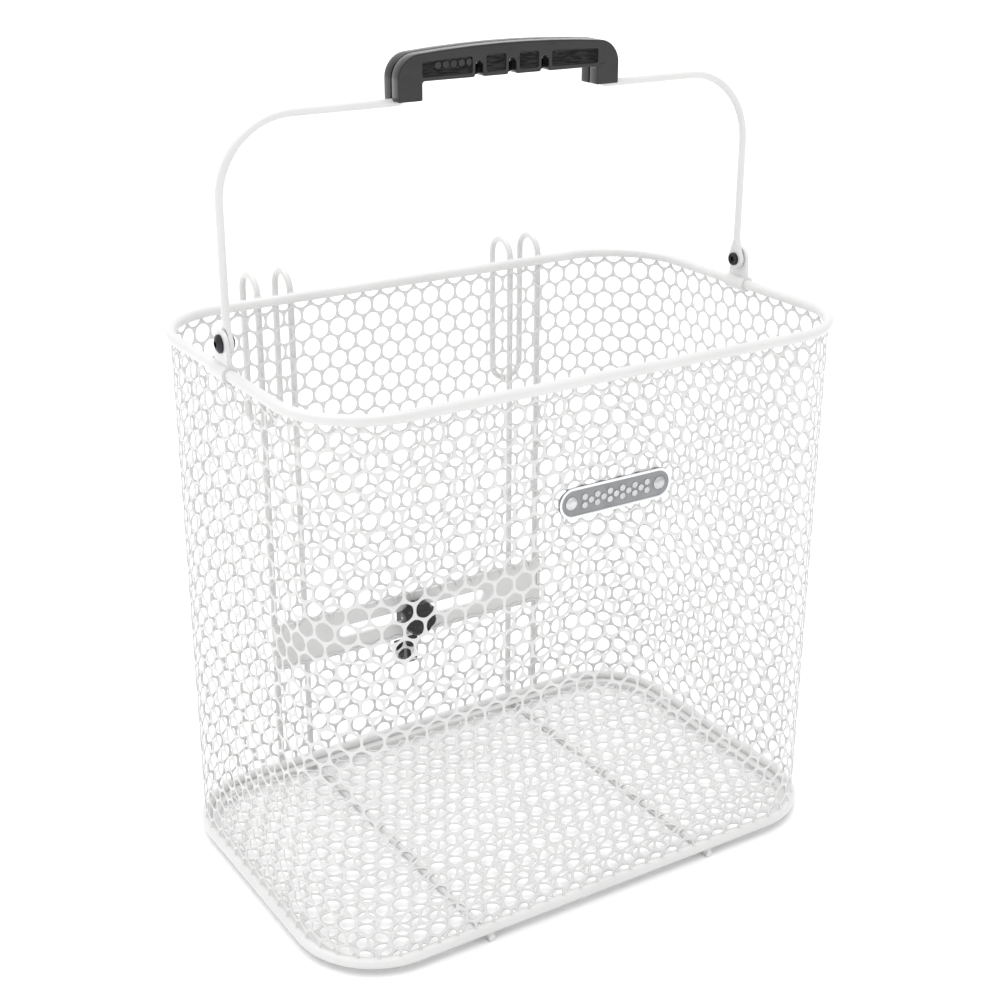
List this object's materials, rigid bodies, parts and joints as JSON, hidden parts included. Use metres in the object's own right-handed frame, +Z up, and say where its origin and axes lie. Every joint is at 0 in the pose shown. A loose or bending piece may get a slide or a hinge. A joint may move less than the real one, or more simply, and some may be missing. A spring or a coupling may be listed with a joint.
{
  "type": "bicycle pannier basket",
  "caption": "Wire-mesh bicycle pannier basket with wire rack hooks, a knob-locked sliding lower clamp and a swinging carrying bail with a moulded grip.",
  "frame": {"origin": "middle of the basket's rim outline in plan, on the surface that the floor wires stand on", "axes": "+X to the basket's right seen from the front, +Y to the back, where the rack hooks are, +Z up"},
  "size_m": [0.339, 0.2425, 0.4586],
  "materials": {
    "coated_wire": "gloss white powder coat",
    "coated_mesh": "gloss white powder coat over expanded honeycomb mesh",
    "black_gloss": "glossy black moulded plastic",
    "black_nylon": "satin black glass-filled nylon",
    "black_steel": "black zinc plated steel",
    "bright_steel": "zinc plated steel",
    "badge_metal": "satin anodised aluminium",
    "brass": "machined brass"
  },
  "bodies": {
    "basket": {"top_rim": "coated_wire", "bottom_ring": "coated_wire", "front_wall_mesh": "coated_mesh", "back_wall_mesh": "coated_mesh", "left_wall_mesh": "coated_mesh", "right_wall_mesh": "coated_mesh", "front_left_corner_mesh": "coated_mesh", "front_right_corner_mesh": "coated_mesh", "back_left_corner_mesh": "coated_mesh", "back_right_corner_mesh": "coated_mesh", "floor_mesh": "coated_mesh", "left_rack_hook": "coated_wire", "right_rack_hook": "coated_wire", "clamp_plate": "coated_wire", "left_pivot_bracket": "coated_wire", "right_pivot_bracket": "coated_wire", "pivot_bolts": "black_steel", "pivot_washers": "bright_steel", "pivot_nuts": "black_steel", "badge_plate": "badge_metal", "badge_backing": "badge_metal", "badge_rivets": "bright_steel"},
    "bail": {"bail_wire": "coated_wire", "grip_front_shell": "black_gloss", "grip_back_shell": "black_gloss", "grip_screws": "black_steel"},
    "clamp_carriage": {"carriage_bolt": "bright_steel"},
    "clamp_collar": {"clamp_washer": "bright_steel"},
    "clamp_knob": {"clamp_knob": "black_gloss", "knob_insert": "brass"},
    "lower_hook": {"lower_hook": "black_nylon"}
  },
  "joints": [
    {"name": "bail_swing", "type": "hinge", "parent": "basket", "child": "bail", "pos_m": [0, 0, 0.32352], "axis": [1, 0, 0], "range_deg": [-92, 93]},
    {"name": "clamp_slide", "type": "slide", "parent": "basket", "child": "clamp_carriage", "axis": [1, 0, 0], "range_m": [-0.046, 0.046]},
    {"name": "clamp_release", "type": "slide", "parent": "clamp_carriage", "child": "clamp_collar", "axis": [0, -1, 0], "range_m": [0, 0.002]},
    {"name": "knob_turn", "type": "hinge", "parent": "clamp_collar", "child": "clamp_knob", "pos_m": [0, 0.10442, 0.08852], "axis": [0, -1, 0], "range_deg": [0, 720]},
    {"name": "hook_swivel", "type": "hinge", "parent": "clamp_carriage", "child": "lower_hook", "pos_m": [0, 0.1093, 0.08852], "axis": [0, 1, 0], "range_deg": [-20, 20]}
  ],
  "couplings": [
    {"joint": "knob_turn", "follows": "clamp_release", "rad_per_m": 6283.2}
  ]
}
